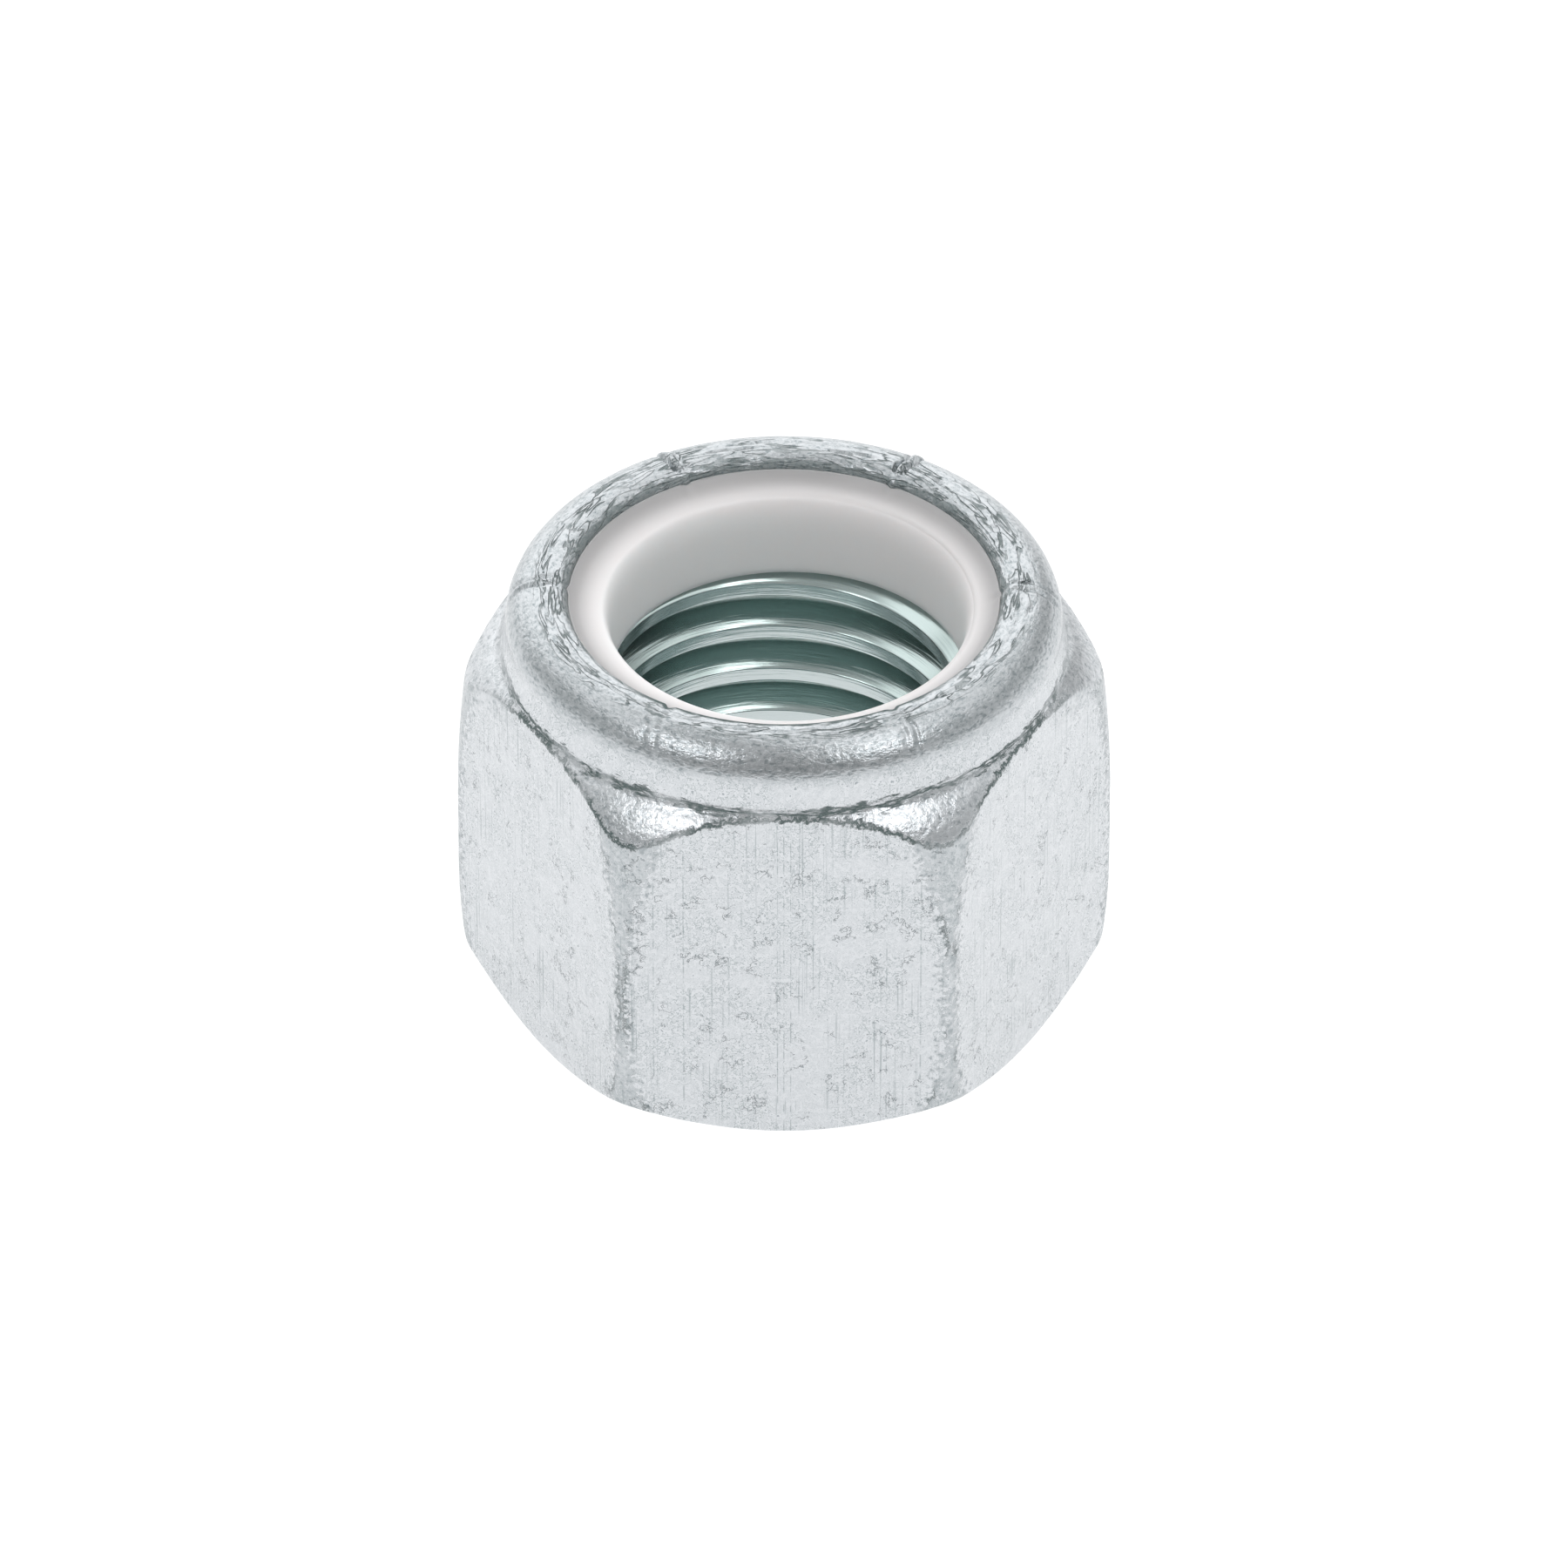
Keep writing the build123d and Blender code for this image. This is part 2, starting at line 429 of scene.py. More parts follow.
def ring_section(azimuth):
    """The nylon ring's section: seat, pocket wall, dished top and bore."""
    bore = RING_BORE + RING_BORE_SHIFT * cos(azimuth)
    edge = lip_edge(azimuth)
    rows = [(bore + RING_FOOT, SEAT)] + inner_corner()
    for inside in DISH_ROWS:
        radius = edge - inside
        pillow = PILLOW * exp(-((inside / PILLOW_REACH) ** 2)) if inside > 0 else 0.0
        rows.append((radius, min(dish_level(radius), LIP_UNDER - LIP_GAP) + pillow))
    rows += [(radius, dish_level(radius)) for radius in DISH_RADII]
    for step in range(LEAD_IN_STEPS + 1):
        angle = pi / 2 * step / LEAD_IN_STEPS
        rows.append((bore + RING_EDGE * (1 - sin(angle)), RING_TOP - LEAD_IN * (1 - cos(angle))))
    return rows + [(bore, level) for level in BORE_LEVELS]


def ring_marks(azimuth, radius, height, row):
    """How far inside the lip's edge a point lies, for the painted shade under the lip."""
    return {"from_lip_mm": max(0.0, LIP - LIP_SHIFT * sin(azimuth) - radius)}


# ---- Meshes -------------------------------------------------------------------------------------


def gather_at_corners(turn, share):
    """Azimuth of a column, with the columns drawn together at the hexagon's corners."""
    return turn - share / 6 * sin(6 * turn)


def spun_piece(name, section, columns, gather, marks=None):
    """A closed ring: a section spun round the axis, then shaped column by column.

    The section climbs by one pitch in its turn.  That rise tells each vertex which column it is
    in, and it lets the rows of a thread end on themselves, one pitch further up.
    """
    mesh = bmesh.new()
    row_number = mesh.verts.layers.int.new("row")
    start = section(0.0)
    profile = [mesh.verts.new((radius, 0, height)) for radius, height in start]
    for number, vertex in enumerate(profile):
        vertex[row_number] = number
    loop = [mesh.edges.new((profile[i - 1], profile[i])) for i in range(len(profile))]
    climb = PITCH / columns
    bmesh.ops.spin(
        mesh, geom=profile + loop, cent=(0, 0, 0), axis=(0, 0, 1), dvec=(0, 0, climb),
        angle=2 * pi, steps=columns, use_merge=False, use_duplicate=False,
    )

    layers = {}
    if marks:
        layers = {key: mesh.verts.layers.float.new(key) for key in marks(0.0, FLAT, 0.0, 0)}
    sections = {}
    for vertex in mesh.verts:
        row = vertex[row_number]
        column = round((vertex.co.z - start[row][1]) / climb)
        azimuth = gather_at_corners(2 * pi * column / columns, gather)
        if column not in sections:
            sections[column] = section(azimuth)
        radius, height = sections[column][row]
        vertex.co = (radius * cos(azimuth), radius * sin(azimuth), height)
        values = marks(azimuth, radius, height, row) if marks else {}
        for key, value in values.items():
            vertex[layers[key]] = value

    bmesh.ops.remove_doubles(mesh, verts=mesh.verts, dist=1e-4)
    bmesh.ops.recalc_face_normals(mesh, faces=mesh.faces)
    bmesh.ops.scale(mesh, vec=(MM, MM, MM), verts=mesh.verts)
    for face in mesh.faces:
        face.smooth = True
    data = bpy.data.meshes.new(name)
    mesh.to_mesh(data)
    mesh.free()
    piece = bpy.data.objects.new(name, data)
    bpy.context.scene.collection.objects.link(piece)
    return piece


# ---- Materials ----------------------------------------------------------------------------------


def colour(hex_value):
    """Linear RGBA of an sRGB hex colour."""
    channels = [int(hex_value[i : i + 2], 16) / 255 for i in (1, 3, 5)]
    linear = [c / 12.92 if c <= 0.04045 else ((c + 0.055) / 1.055) ** 2.4 for c in channels]
    return (*linear, 1.0)


def add(tree, kind, settings=None, out=0, **inputs):
    """Add a shader node and return one of its outputs.

    Settings go to the node.  An input is a value or another node's output, named by its socket
    or, as _0 and _1, by the socket's number.
    """
    node = tree.nodes.new("ShaderNode" + kind)
    for key, value in (settings or {}).items():
        setattr(node, key, value)
    for key, value in inputs.items():
        socket = node.inputs[int(key[1:])] if key[0] == "_" else node.inputs[key.replace("_", " ")]
        if isinstance(value, bpy.types.NodeSocket):
            tree.links.new(value, socket)
        else:
            socket.default_value = value
    return node.outputs[out] if node.outputs else node


def new_material(name):
    """An empty node material and its tree."""
    material = bpy.data.materials.new(name)
    material.use_nodes = True
    material.node_tree.nodes.clear()
    return material, material.node_tree


MULTIPLY = {"operation": "MULTIPLY"}
SUM = {"operation": "ADD"}
MINUS = {"operation": "SUBTRACT"}
GREATER = {"operation": "MAXIMUM"}
SIZE_OF = {"operation": "ABSOLUTE"}
LENGTH = {"operation": "LENGTH"}
EASED = {"interpolation_type": "SMOOTHSTEP"}
BLEND = {"data_type": "RGBA"}

PLATE = "#CFD2D5"                       # bright zinc plate
BORE_SHADED_PLATE = "#BFCECC"                # darker and greenish in the thread: painted shade of the deep bore
COARSE_GREY_AND_SHADE = "#8D9698"                  # greyer on the roll and the forged corners, partly painted shade of their coarse grain
VEIN_GREY = "#7F8B8D"                   # veins between the grains, and draw lines
PIT_SHADE_AND_SPECK_GREY = "#6B787D"                    # painted shade in the pits, and specks and hair cracks
FRAYED_EDGE_AND_SHADOW = "#38514E"                 # dark lines along the edges, and folds; also painted shadow at the lip and the collar's root
NYLON = "#FEFBFB"
LIP_SHADED_NYLON = "#A4A3A4"               # painted shade under the lip

# Sizes of the patterns, in millimetres.  The real grain is finer, and is drawn as coarse as it
# needs to show.
GRAIN = 0.3                             # of the forged skin, and specks in the plate
ROLL_GRAIN = 0.16                       # on the roll, where it is drawn out round the axis
LUMPS = 0.9                             # under the grain
DRIFT = 1.6                             # patches over which the skin varies
STRANDS = 0.22                          # fray of the dark edges
FOLDS = 0.4                             # of the steel that flowed round the roll
CRACKS = 1.5                            # loops of the hair cracks
CRACK_PATCH = 1.1                       # and the patches where they opened
DRAW_SPACING = 0.16                     # lines of the drawn bar, down the flats
DRAW_PATCH = 2.6                        # patches where they were kept
DRAW_BREAK = 0.7                        # lengths into which the deeper ones are broken
CUT_SPACING = 0.13                      # lines of the tap, round the thread

# How far a pattern is drawn out along its run: 1 is even, and a smaller number is longer
STRAND_RUN = 0.22
ROLL_RUN = 0.5
FOLD_RUN = 0.16
DRAW_RUN = 0.012
CUT_RUN = 0.3                           # for this one, per radian

# Height of each pattern, in millimetres
GRAIN_HEIGHT = 0.036
LUMP_HEIGHT = 0.03
DRAW_HEIGHT = 0.02
CUT_HEIGHT = 0.011
FOLD_HEIGHT = -0.07
CRACK_HEIGHT = -0.03
EDGE_HEIGHT = -0.04

# How strongly each kind of mark covers the plate, and how satin the metal is
CRACKED = 0.5
COARSE_GREYING = 0.28
DARKENED = 0.8
SATIN_FLAT = 0.17                       # roughness on the flats,
SATIN_ROLL = 0.32                       # where the grain is coarsest,
MATT_LINES = 0.35                       # and what the dark lines add to it

DRAW_MARKS = (                          # deeper draw lines on the front flat: place, half width
    (-6.24, 0.05), (-4.83, 0.045), (-0.42, 0.04), (-0.12, 0.04), (0.2, 0.04), (4.7, 0.04),
    (6.3, 0.05),
)
FRONT_FLAT = 4 * SIDE                   # girth_mm at the middle of that flat


def places_on_nut(tree):
    """Where a point of the nut lies: in millimetres, round the axis, and by the body's marks."""
    at = SimpleNamespace()
    place = add(tree, "TexCoord", out="Object")
    at.place = add(tree, "VectorMath", {"operation": "SCALE"}, _0=place, Scale=1 / MM)
    at.x, at.y, at.z = (add(tree, "SeparateXYZ", out=axis, Vector=at.place) for axis in "XYZ")
    level = add(tree, "CombineXYZ", X=at.x, Y=at.y)
    at.radius = add(tree, "VectorMath", LENGTH, out="Value", _0=level)
    at.angle = add(tree, "Math", {"operation": "ARCTAN2"}, _0=at.y, _1=at.x)
    at.around = add(tree, "Math", MULTIPLY, _0=at.angle, _1=WALL)
    for mark in ("thread", "crest", "corner_mm", "shoulder_mm", "lip_mm", "girth_mm"):
        setattr(at, mark, add(tree, "Attribute", {"attribute_name": mark}, out="Fac"))
    at.off_thread = add(tree, "MapRange", Value=at.thread, To_Min=1.0, To_Max=0.0)
    return at


def forged_areas(tree, at):
    """Where the skin changes: on the flats, the forged corners and the roll.

    The grain and a slower drift fray every border between them.
    """
    fray = add(tree, "TexNoise", Vector=at.place, Scale=1 / GRAIN, Detail=3.0, Roughness=0.65)
    fray = add(tree, "MapRange", Value=fray, From_Min=0.25, From_Max=0.75, To_Min=-0.24,
               To_Max=0.24)
    at.drift = add(tree, "TexNoise", Vector=at.place, Scale=1 / DRIFT, Detail=1.0)
    stray = add(tree, "MapRange", Value=at.drift, From_Min=0.25, From_Max=0.75, To_Min=-0.22,
                To_Max=0.22)
    stray = add(tree, "Math", SUM, _0=fray, _1=stray)
    at.even = add(tree, "TexNoise", Vector=at.place, Scale=1 / GRAIN, Detail=3.0, Roughness=0.6)
    crumble = add(tree, "MapRange", Value=at.even, From_Min=0.3, From_Max=0.7, To_Min=-0.5,
                  To_Max=0.5)

    at.corner = add(tree, "Math", SUM, _0=at.corner_mm, _1=stray)
    at.shoulder = add(tree, "Math", SUM, _0=at.shoulder_mm, _1=fray)
    on_side = add(tree, "MapRange", EASED, Value=at.shoulder, From_Min=0.08, From_Max=-0.08)
    at.on_side = add(tree, "Math", MULTIPLY, _0=on_side, _1=at.off_thread)
    band = add(tree, "Math", SUM, _0=at.corner, _1=crumble)
    band = add(tree, "MapRange", EASED, Value=band, From_Min=0.3, From_Max=-0.3, To_Max=0.85)
    at.band = add(tree, "Math", MULTIPLY, _0=band, _1=at.on_side)
    at.rolled = add(tree, "MapRange", EASED, Value=at.z, From_Min=ROLL_HEIGHT - 0.2,
                    From_Max=ROLL_HEIGHT + 0.8)

    # The dark lines come and go, and are weak at the left and right corners
    aside = add(tree, "Math", SIZE_OF, _0=at.x)
    at.aside = add(tree, "MapRange", EASED, Value=aside, From_Min=12.2, From_Max=13.6)
    clear = add(tree, "MapRange", Value=at.aside, To_Min=1.0, To_Max=0.15)
    patchy = add(tree, "MapRange", EASED, Value=at.drift, From_Min=0.38, From_Max=0.56,
                 To_Min=0.45)
    at.patchy = add(tree, "Math", MULTIPLY, _0=patchy, _1=clear)


def frayed_edges_and_painted_shade(tree, at):
    """Dark, frayed lines on the shoulder and the corners; painted shade at the collar's root and
    lip.
    """
    shoulder = add(tree, "Math", SIZE_OF, _0=at.shoulder)
    shoulder = add(tree, "MapRange", EASED, Value=shoulder, From_Min=0.17, From_Max=0.02)

    run = add(tree, "Math", MULTIPLY, _0=at.around, _1=STRAND_RUN)
    strand = add(tree, "CombineXYZ", X=at.radius, Y=run, Z=at.z)
    strand = add(tree, "TexNoise", Vector=strand, Scale=1 / STRANDS, Detail=3.0, Roughness=0.6)
    strand = add(tree, "MapRange", Value=strand, From_Min=0.25, From_Max=0.75, To_Min=-0.34,
                 To_Max=0.34)
    # painted shade: a dark line in the crease at the collar's root
    root = add(tree, "Math", MINUS, _0=at.z, _1=ROOT - 0.06)
    root = add(tree, "Math", SUM, _0=root, _1=strand)
    root = add(tree, "Math", SIZE_OF, _0=root)
    root = add(tree, "MapRange", EASED, Value=root, From_Min=0.2, From_Max=0.02)
    outside = add(tree, "MapRange", EASED, Value=at.radius, From_Min=12.9, From_Max=13.1)
    root = add(tree, "Math", MULTIPLY, _0=root, _1=outside)

    corner = add(tree, "Math", SIZE_OF, _0=at.corner)
    corner = add(tree, "MapRange", EASED, Value=corner, From_Min=0.12, From_Max=0.0, To_Max=0.5)
    corner = add(tree, "Math", MULTIPLY, _0=corner, _1=at.on_side)
    here = add(tree, "MapRange", EASED, Value=at.drift, From_Min=0.47, From_Max=0.6)
    corner = add(tree, "Math", MULTIPLY, _0=corner, _1=here)

    # A broad painted shadow at the front of the lip's edge, and a frayed painted shadow all the way
    # round it, where lip and nylon meet
    lip = add(tree, "Math", MULTIPLY, _0=strand, _1=0.35)
    lip = add(tree, "Math", SUM, _0=at.lip_mm, _1=lip)
    lip = add(tree, "MapRange", EASED, Value=lip, From_Min=0.52, From_Max=0.36)
    shadowed_front = add(tree, "MapRange", EASED, Value=at.y, From_Min=-7.0, From_Max=-9.0)
    lip = add(tree, "Math", MULTIPLY, _0=lip, _1=shadowed_front)
    lip_shadow_all_round = add(tree, "Math", SUM, _0=at.lip_mm, _1=strand)
    lip_shadow_all_round = add(tree, "MapRange", EASED, Value=lip_shadow_all_round, From_Min=0.3, From_Max=0.1, To_Max=0.6)
    lip = add(tree, "Math", GREATER, _0=lip, _1=lip_shadow_all_round)

    lines = add(tree, "Math", GREATER, _0=shoulder, _1=root)
    lines = add(tree, "Math", GREATER, _0=lines, _1=corner)
    lines = add(tree, "Math", MULTIPLY, _0=lines, _1=at.patchy)
    return add(tree, "Math", GREATER, _0=lines, _1=lip)


def roughened(tree, at):
    """How coarse the skin is: most on the roll, the forged corners and the shoulder."""
    upset = add(tree, "Math", SIZE_OF, _0=at.shoulder_mm)
    upset = add(tree, "MapRange", EASED, Value=upset, From_Min=1.6, From_Max=0.8, To_Max=0.8)
    upset = add(tree, "Math", MULTIPLY, _0=upset, _1=at.aside)
    facet = add(tree, "MapRange", EASED, Value=at.shoulder, From_Min=-0.1, From_Max=0.15)
    below = add(tree, "MapRange", EASED, Value=at.z, From_Min=ROOT + 0.2, From_Max=ROOT - 0.1,
                To_Max=0.85)
    facet = add(tree, "Math", MULTIPLY, _0=facet, _1=below)
    rough = at.rolled
    for part in (at.band, upset, facet):
        rough = add(tree, "Math", GREATER, _0=rough, _1=part)
    rough = add(tree, "MapRange", Value=rough, To_Min=0.3, To_Max=1.0)
    return add(tree, "Math", MULTIPLY, _0=rough, _1=at.off_thread)


def forged_grain(tree, at):
    """Fine pits and ridges: even on the flats, drawn out round the axis on the roll."""
    run = add(tree, "Math", MULTIPLY, _0=at.around, _1=ROLL_RUN)
    long = add(tree, "CombineXYZ", X=at.radius, Y=run, Z=at.z)
    long = add(tree, "TexNoise", Vector=long, Scale=1 / ROLL_GRAIN, Detail=2.0, Roughness=0.6)
    return add(tree, "Mix", Factor=at.rolled, _2=at.even, _3=long)


def flow_folds(tree, at):
    """Folds of the steel that flowed round the roll, up to its lip."""
    folded = add(tree, "MapRange", EASED, Value=at.radius, From_Min=12.1, From_Max=11.5)
    folded = add(tree, "Math", MULTIPLY, _0=folded, _1=at.rolled)
    run = add(tree, "Math", MULTIPLY, _0=at.around, _1=FOLD_RUN)
    folds = add(tree, "CombineXYZ", X=at.radius, Y=run, Z=at.z)
    folds = add(tree, "TexNoise", Vector=folds, Scale=1 / FOLDS, Detail=2.0, Distortion=0.6)
    folds = add(tree, "MapRange", Value=folds, From_Min=0.1, From_Max=0.9, To_Min=-1.0)
    folds = add(tree, "Math", SIZE_OF, _0=folds)
    folds = add(tree, "MapRange", EASED, Value=folds, From_Min=0.12, From_Max=0.0)
    folds = add(tree, "Math", MULTIPLY, _0=folds, _1=folded)
    return add(tree, "Math", MULTIPLY, _0=folds, _1=at.patchy)


def hair_cracks(tree, at):
    """Hair cracks and scratches in the plate on the flats."""
    cracks = add(tree, "TexNoise", Vector=at.place, Scale=1 / CRACKS, Detail=4.0, Roughness=0.7)
    cracks = add(tree, "MapRange", Value=cracks, From_Min=0.1, From_Max=0.9, To_Min=-1.0)
    cracks = add(tree, "Math", SIZE_OF, _0=cracks)
    cracks = add(tree, "MapRange", EASED, Value=cracks, From_Min=0.03, From_Max=0.0)
    opened = add(tree, "TexNoise", Vector=at.place, Scale=1 / CRACK_PATCH, Detail=2.0,
                 Roughness=0.6)
    opened = add(tree, "MapRange", EASED, Value=opened, From_Min=0.53, From_Max=0.64)
    cracks = add(tree, "Math", MULTIPLY, _0=cracks, _1=opened)
    return add(tree, "Math", MULTIPLY, _0=cracks, _1=at.on_side)


def draw_lines(tree, at):
    """Lines of the drawn bar down the flats: their relief, and the grey in the deeper ones."""
    run = add(tree, "Math", MULTIPLY, _0=at.z, _1=DRAW_RUN)
    drawn = add(tree, "CombineXYZ", X=at.girth_mm, Y=run)
    drawn = add(tree, "TexNoise", Vector=drawn, Scale=1 / DRAW_SPACING, Detail=2.0, Roughness=0.7)
    kept = add(tree, "TexNoise", Vector=at.place, Scale=1 / DRAW_PATCH, Detail=2.0)
    kept = add(tree, "MapRange", EASED, Value=kept, From_Min=0.44, From_Max=0.58)
    kept = add(tree, "Math", MULTIPLY, _0=kept, _1=at.on_side)
    relief = add(tree, "Math", MULTIPLY, _0=drawn, _1=kept)

    grey = add(tree, "MapRange", EASED, Value=drawn, From_Min=0.45, From_Max=0.3, To_Max=0.5)
    grey = add(tree, "Math", MULTIPLY, _0=grey, _1=kept)
    broken = add(tree, "TexNoise", Vector=at.place, Scale=1 / DRAW_BREAK, Detail=3.0,
                 Roughness=0.7)
    broken = add(tree, "MapRange", EASED, Value=broken, From_Min=0.42, From_Max=0.62, To_Max=0.5)
    for place_mm, half in DRAW_MARKS:
        mark = add(tree, "Math", MINUS, _0=at.girth_mm, _1=FRONT_FLAT + place_mm)
        mark = add(tree, "Math", SIZE_OF, _0=mark)
        mark = add(tree, "MapRange", EASED, Value=mark, From_Min=half, From_Max=half / 3)
        mark = add(tree, "Math", MULTIPLY, _0=mark, _1=broken)
        grey = add(tree, "Math", GREATER, _0=grey, _1=mark)
    return relief, add(tree, "Math", MULTIPLY, _0=grey, _1=at.on_side)


def cutting_lines(tree, at):
    """Lines of the tap round the thread, climbing with it."""
    run = add(tree, "Math", MULTIPLY, _0=at.angle, _1=CUT_RUN)
    climb = add(tree, "Math", MULTIPLY, _0=at.angle, _1=-PITCH / (2 * pi))
    climb = add(tree, "Math", SUM, _0=climb, _1=at.z)
    cut = add(tree, "CombineXYZ", X=at.radius, Y=run, Z=climb)
    cut = add(tree, "TexNoise", Vector=cut, Scale=1 / CUT_SPACING, Detail=2.0, Roughness=0.6)
    return add(tree, "Math", MULTIPLY, _0=cut, _1=at.thread)


def grain_veins(tree, at, grain):
    """Fine grey veins between the grains, denser in some patches."""
    veins = add(tree, "MapRange", Value=grain, From_Min=0.2, From_Max=0.8, To_Min=-1.0)
    veins = add(tree, "Math", SIZE_OF, _0=veins)
    veins = add(tree, "MapRange", EASED, Value=veins, From_Min=0.12, From_Max=0.0, To_Max=0.65)
    veins = add(tree, "Math", MULTIPLY, _0=veins, _1=at.off_thread)
    dense = add(tree, "MapRange", EASED, Value=at.drift, From_Min=0.35, From_Max=0.6, To_Min=0.35)
    return add(tree, "Math", MULTIPLY, _0=veins, _1=dense)


def zinc_plated_steel():
    """Bright zinc plate over cold-forged steel.

    The plate is a satin, faintly blue metal.  It follows every grain of the forged skin, which is
    fine on the drawn flats, coarse where the steel flowed over the corners and the rolled collar,
    and streaked round the axis on the cut thread.
    """
    material, tree = new_material("zinc_plated_forged_steel")
    at = places_on_nut(tree)
    forged_areas(tree, at)
    rough = roughened(tree, at)
    grain = forged_grain(tree, at)
    folds = flow_folds(tree, at)
    cracks = hair_cracks(tree, at)
    drawn, drawn_grey = draw_lines(tree, at)
    edges = frayed_edges_and_painted_shade(tree, at)

    # Relief
    lumps = add(tree, "TexNoise", Vector=at.place, Scale=1 / LUMPS, Detail=2.0)
    lumps = add(tree, "Math", MULTIPLY, _0=lumps, _1=LUMP_HEIGHT)
    height = add(tree, "Math", MULTIPLY, _0=grain, _1=GRAIN_HEIGHT)
    height = add(tree, "Math", SUM, _0=height, _1=lumps)
    height = add(tree, "Math", MULTIPLY, _0=height, _1=rough)
    for layer, tall in (
        (folds, FOLD_HEIGHT), (cracks, CRACK_HEIGHT), (drawn, DRAW_HEIGHT),
        (cutting_lines(tree, at), CUT_HEIGHT), (edges, EDGE_HEIGHT),
    ):
        layer = add(tree, "Math", MULTIPLY, _0=layer, _1=tall)
        height = add(tree, "Math", SUM, _0=height, _1=layer)
    bump = add(tree, "Bump", Height=height, Strength=1.0, Distance=MM)

    # Colour: each layer of marks over the one before it
    specks = add(tree, "TexNoise", Vector=at.place, Scale=1 / GRAIN, Detail=2.0, Roughness=0.7)
    specks = add(tree, "MapRange", EASED, Value=specks, From_Min=0.63, From_Max=0.74, To_Max=0.6)
    specks = add(tree, "Math", MULTIPLY, _0=specks, _1=at.off_thread)
    cracked = add(tree, "Math", MULTIPLY, _0=cracks, _1=CRACKED)
    # painted shade: the hollows of the grain greyed, where shade would fall
    pits = add(tree, "MapRange", EASED, Value=grain, From_Min=0.5, From_Max=0.32, To_Max=0.6)
    pits = add(tree, "Math", MULTIPLY, _0=pits, _1=rough)
    # partly painted shade: the coarse roll and forged corners greyed, for the shade in their grain
    coarse_grey_and_shade = add(tree, "Math", MULTIPLY, _0=at.rolled, _1=0.85)
    coarse_grey_and_shade = add(tree, "Math", GREATER, _0=coarse_grey_and_shade, _1=at.band)
    coarse_grey_and_shade = add(tree, "Math", MULTIPLY, _0=coarse_grey_and_shade, _1=COARSE_GREYING)
    # the dark lines include the painted shadow at the lip and the painted shade at the collar's
    # root
    dark = add(tree, "Math", MULTIPLY, _0=folds, _1=0.8)
    dark = add(tree, "Math", GREATER, _0=edges, _1=dark)
    dark = add(tree, "Math", MULTIPLY, _0=dark, _1=DARKENED)
    # painted shade of the bore: the thread's plate darker and greener, half as much on the crests
    bore_shade = add(tree, "Math", MULTIPLY, _0=at.crest, _1=0.5)
    bore_shade = add(tree, "Math", MINUS, _0=at.thread, _1=bore_shade)
    plate = colour(PLATE)
    for share, tone in (
        (bore_shade, BORE_SHADED_PLATE), (grain_veins(tree, at, grain), VEIN_GREY), (drawn_grey, VEIN_GREY),
        (specks, PIT_SHADE_AND_SPECK_GREY), (cracked, PIT_SHADE_AND_SPECK_GREY), (pits, PIT_SHADE_AND_SPECK_GREY), (coarse_grey_and_shade, COARSE_GREY_AND_SHADE),
        (dark, FRAYED_EDGE_AND_SHADOW),
    ):
        plate = add(tree, "Mix", BLEND, out=2, Factor=share, _6=plate, _7=colour(tone))

    # The dark lines are dull and no longer metal
    satin = add(tree, "MapRange", Value=rough, To_Min=SATIN_FLAT, To_Max=SATIN_ROLL)
    matt = add(tree, "Math", MULTIPLY, _0=dark, _1=MATT_LINES)
    satin = add(tree, "Math", SUM, _0=satin, _1=matt)
    metal = add(tree, "MapRange", Value=dark, From_Max=0.7, To_Min=1.0, To_Max=0.0)
    gloss = add(tree, "MapRange", Value=dark, From_Max=0.7, To_Min=0.5, To_Max=0.1)
    shader = add(
        tree, "BsdfPrincipled", Base_Color=plate, Metallic=metal, Roughness=satin, Normal=bump,
        Specular_IOR_Level=gloss,
    )
    add(tree, "OutputMaterial", Surface=shader)
    return material


def natural_nylon():
    """Natural white moulded nylon: milky, smooth, and letting a little light through.

    It is painted greyer close to the lip: painted shade of the lip that overhangs it.
    """
    material, tree = new_material("natural_moulded_nylon")
    lip = add(tree, "Attribute", {"attribute_name": "from_lip_mm"}, out="Fac")
    # painted shade: the nylon greys towards the lip that overhangs it
    pressed = add(tree, "MapRange", EASED, Value=lip, From_Min=2.1, From_Max=0.0, To_Max=0.8)
    milky = add(tree, "Mix", BLEND, out=2, Factor=pressed, _6=colour(NYLON),
                _7=colour(LIP_SHADED_NYLON))
    shader = add(
        tree, "BsdfPrincipled", Base_Color=milky, Roughness=0.42, IOR=1.53,
        Subsurface_Weight=1.0, Subsurface_Radius=(1.0, 0.95, 0.93), Subsurface_Scale=0.8 * MM,
    )
    add(tree, "OutputMaterial", Surface=shader)
    return material


# ---- Studio -------------------------------------------------------------------------------------

ROOM = "#B9BBBB"                        # walls of the room
ROOM_LEVEL = 1.25                       # strength of the walls and the soft lights together
FLOOR_WHITE = 1.375                     # brings the shaded floor up to white for the camera
SOFT_LIGHTS = (                         # azimuth, elevation, full and fading radius, level
    (-90, 38, 42, 62, 0.35),                # dark hood over the camera
    (97, 18, 28, 58, 1.30),                 # pale wall behind the nut
    (50, 8, 8, 24, 0.45),                   # dark upright at its right end
    (20, 60, 14, 34, 0.90),                 # high on the right
    (-16, 74, 6, 10, 2.40),                 # lamp overhead
    (166, 52, 8, 18, 1.10),                 # high on the left
    (-44, 48, 5, 11, 4.40),                 # softbox before the nut, right
    (-30, 58, 4, 8, 1.20),                  # and its weak edge
    (-137, 46, 5, 11, 4.40),                # softbox before the nut, left
    (-149, 57, 6, 10, 1.40),                # and its weak edge
)


def direction(azimuth, elevation):
    """Unit vector towards an azimuth and an elevation, both in degrees."""
    azimuth, elevation = radians(azimuth), radians(elevation)
    return (cos(azimuth) * cos(elevation), sin(azimuth) * cos(elevation), sin(elevation))


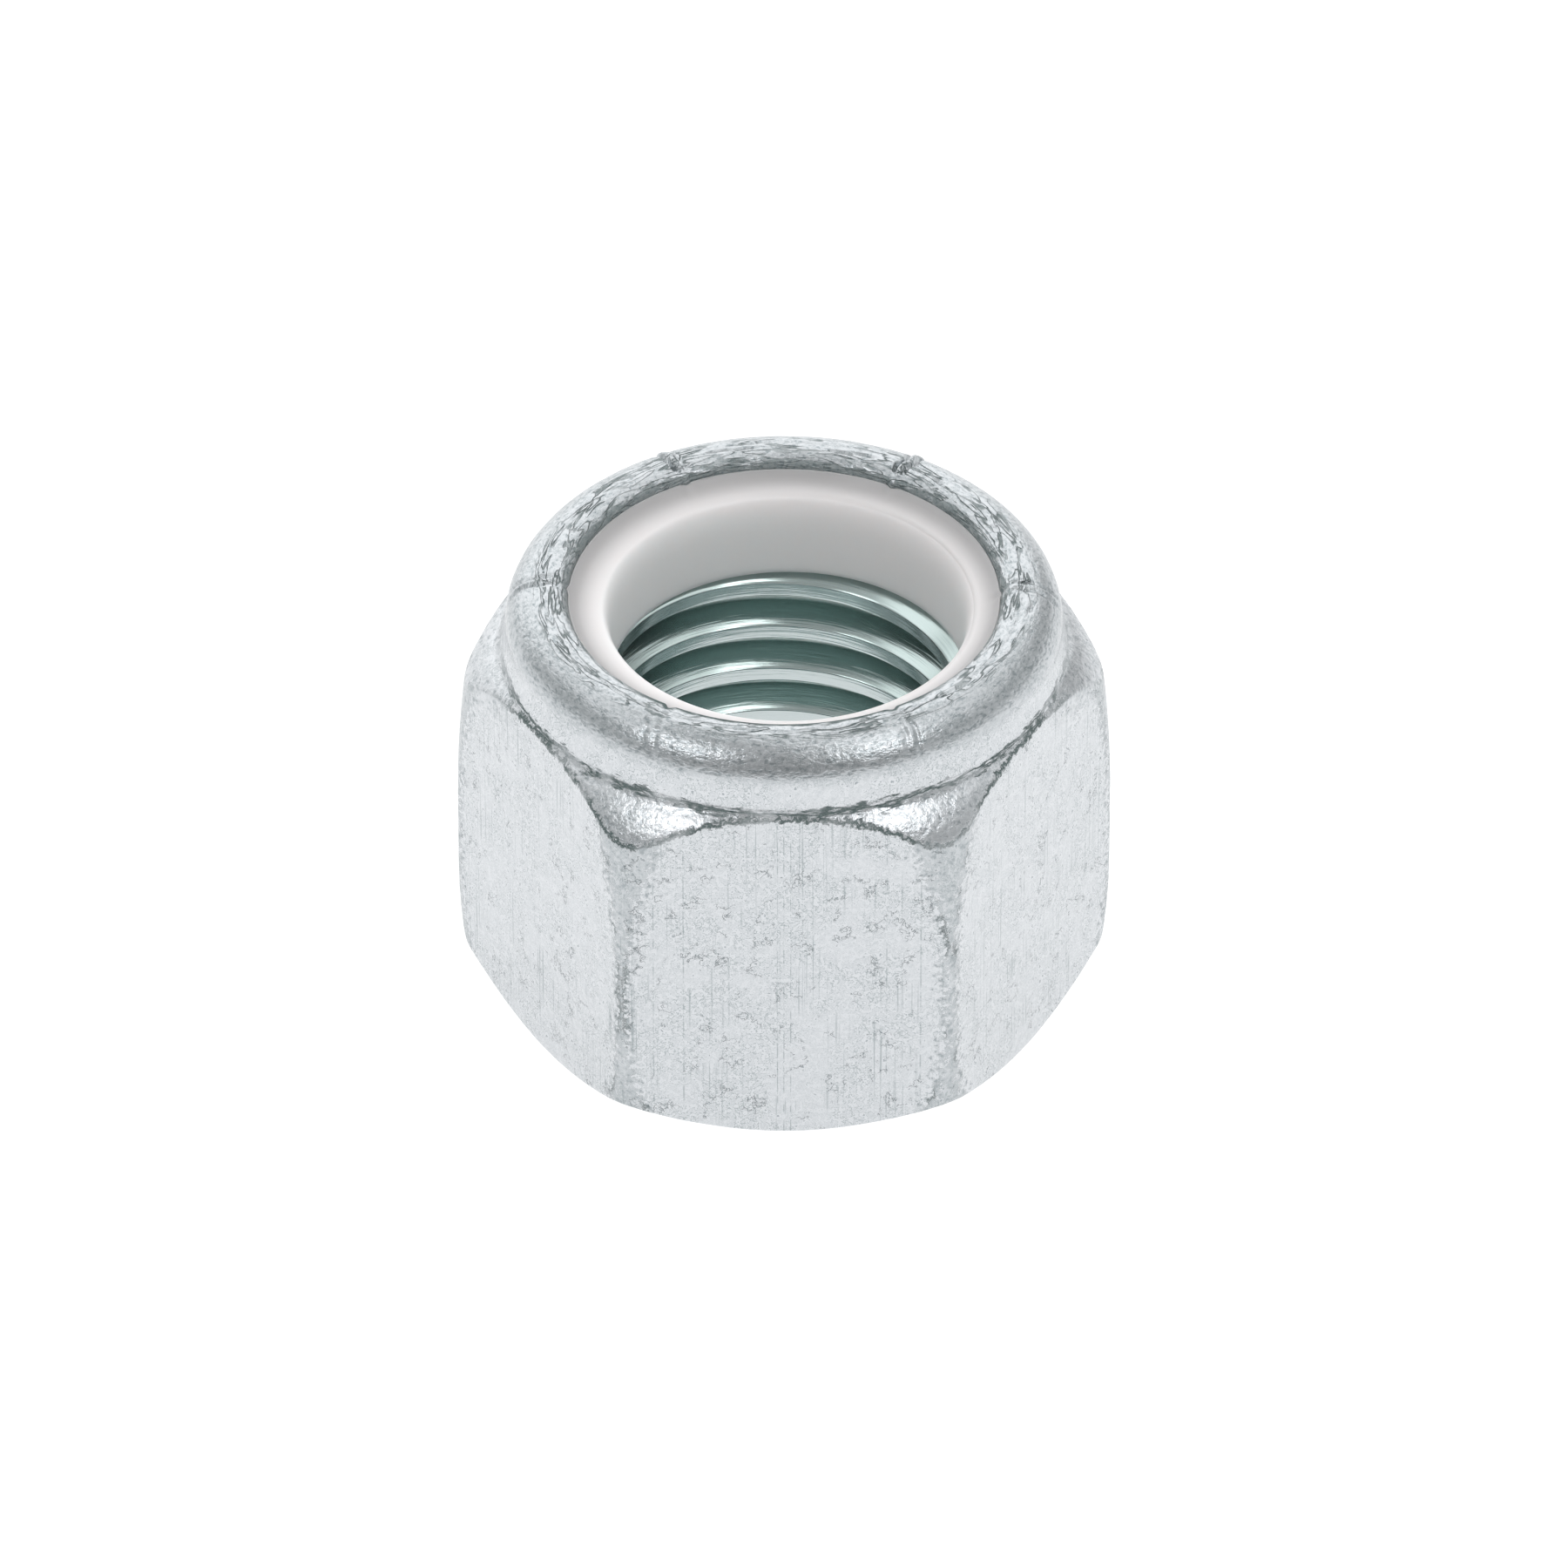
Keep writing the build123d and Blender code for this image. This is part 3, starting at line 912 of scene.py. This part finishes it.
def studio():
    """White floor in a pale room with broad soft lights behind, beside and before the nut."""
    scene = bpy.context.scene
    scene.view_settings.view_transform = "Standard"

    world = bpy.data.worlds.new("studio_room")
    scene.world = world
    world.use_nodes = True
    tree = world.node_tree
    tree.nodes.clear()
    look = add(tree, "TexCoord", out="Generated")
    level = add(tree, "SeparateXYZ", out="Z", Vector=look)
    above = add(tree, "MapRange", EASED, Value=level, From_Min=-0.12, From_Max=0.04)
    shade = add(tree, "Mix", BLEND, out=2, Factor=above, _6=colour("#FFFFFF"), _7=colour(ROOM))
    for azimuth, elevation, full, fade, strength in SOFT_LIGHTS:
        near = add(tree, "VectorMath", {"operation": "DOT_PRODUCT"}, out="Value", _0=look,
                   _1=direction(azimuth, elevation))
        inside = add(tree, "MapRange", EASED, Value=near, From_Min=cos(radians(fade)),
                     From_Max=cos(radians(full)))
        lit = (strength, strength, strength, 1.0)
        shade = add(tree, "Mix", BLEND, out=2, Factor=inside, _6=shade, _7=lit)
    room = add(tree, "Background", Color=shade, Strength=ROOM_LEVEL)
    add(tree, "OutputWorld", Surface=room)

    mesh = bmesh.new()
    bmesh.ops.create_grid(mesh, x_segments=1, y_segments=1, size=4.0)
    data = bpy.data.meshes.new("studio_floor")
    mesh.to_mesh(data)
    mesh.free()
    floor = bpy.data.objects.new("studio_floor", data)
    scene.collection.objects.link(floor)
    material, tree = new_material("matt_white_sweep")
    rays = [add(tree, "LightPath", out=ray)
            for ray in ("Is Camera Ray", "Is Glossy Ray", "Is Transmission Ray")]
    seen = add(tree, "Math", GREATER, _0=rays[0], _1=rays[1])
    seen = add(tree, "Math", GREATER, _0=seen, _1=rays[2])
    place = add(tree, "TexCoord", out="Object")
    reach = add(tree, "VectorMath", LENGTH, out="Value", _0=place)
    share = add(tree, "MapRange", EASED, Value=reach, From_Min=0.1, From_Max=0.4, To_Min=0.72,
                To_Max=0.3)
    share = add(tree, "Math", MULTIPLY, _0=seen, _1=share)
    paint = add(tree, "BsdfDiffuse", Color=colour("#F2F2F2"))
    white = add(tree, "Emission", Color=colour("#FFFFFF"), Strength=FLOOR_WHITE)
    surface = add(tree, "MixShader", _0=share, _1=paint, _2=white)
    add(tree, "OutputMaterial", Surface=surface)
    data.materials.append(material)


VIEW_ELEVATION = radians(37.78)
VIEW_TURN = radians(-0.48)
VIEW_DISTANCE = 809.7
VIEW_HEIGHT = 10.364                    # level on the axis that the camera looks at
FOCAL_LENGTH = 391.7
SENSOR = 36.0


def camera():
    """Long lens from in front, looking down on the nut."""
    elevation, turn = VIEW_ELEVATION, VIEW_TURN
    target = Vector((0, 0, VIEW_HEIGHT * MM))
    backwards = Vector((sin(turn) * cos(elevation), -cos(turn) * cos(elevation), sin(elevation)))
    lens = bpy.data.cameras.new("product_camera")
    lens.sensor_width = SENSOR
    lens.lens = FOCAL_LENGTH
    view = bpy.data.objects.new("product_camera", lens)
    view.location = target + backwards * VIEW_DISTANCE * MM
    view.rotation_euler = (pi / 2 - elevation, 0, turn)
    bpy.context.scene.collection.objects.link(view)
    bpy.context.scene.camera = view


# ---- The object ---------------------------------------------------------------------------------

nut = spun_piece("zinc_nut", body_section, columns=360, gather=0.7, marks=body_marks)
nut.data.materials.append(zinc_plated_steel())
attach(nut, "root")
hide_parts("nut_body")

ring = spun_piece("nylon_ring", ring_section, columns=240, gather=0.5, marks=ring_marks)
ring.data.materials.append(natural_nylon())
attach(ring, "root")
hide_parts("nylon_insert")

studio()
camera()
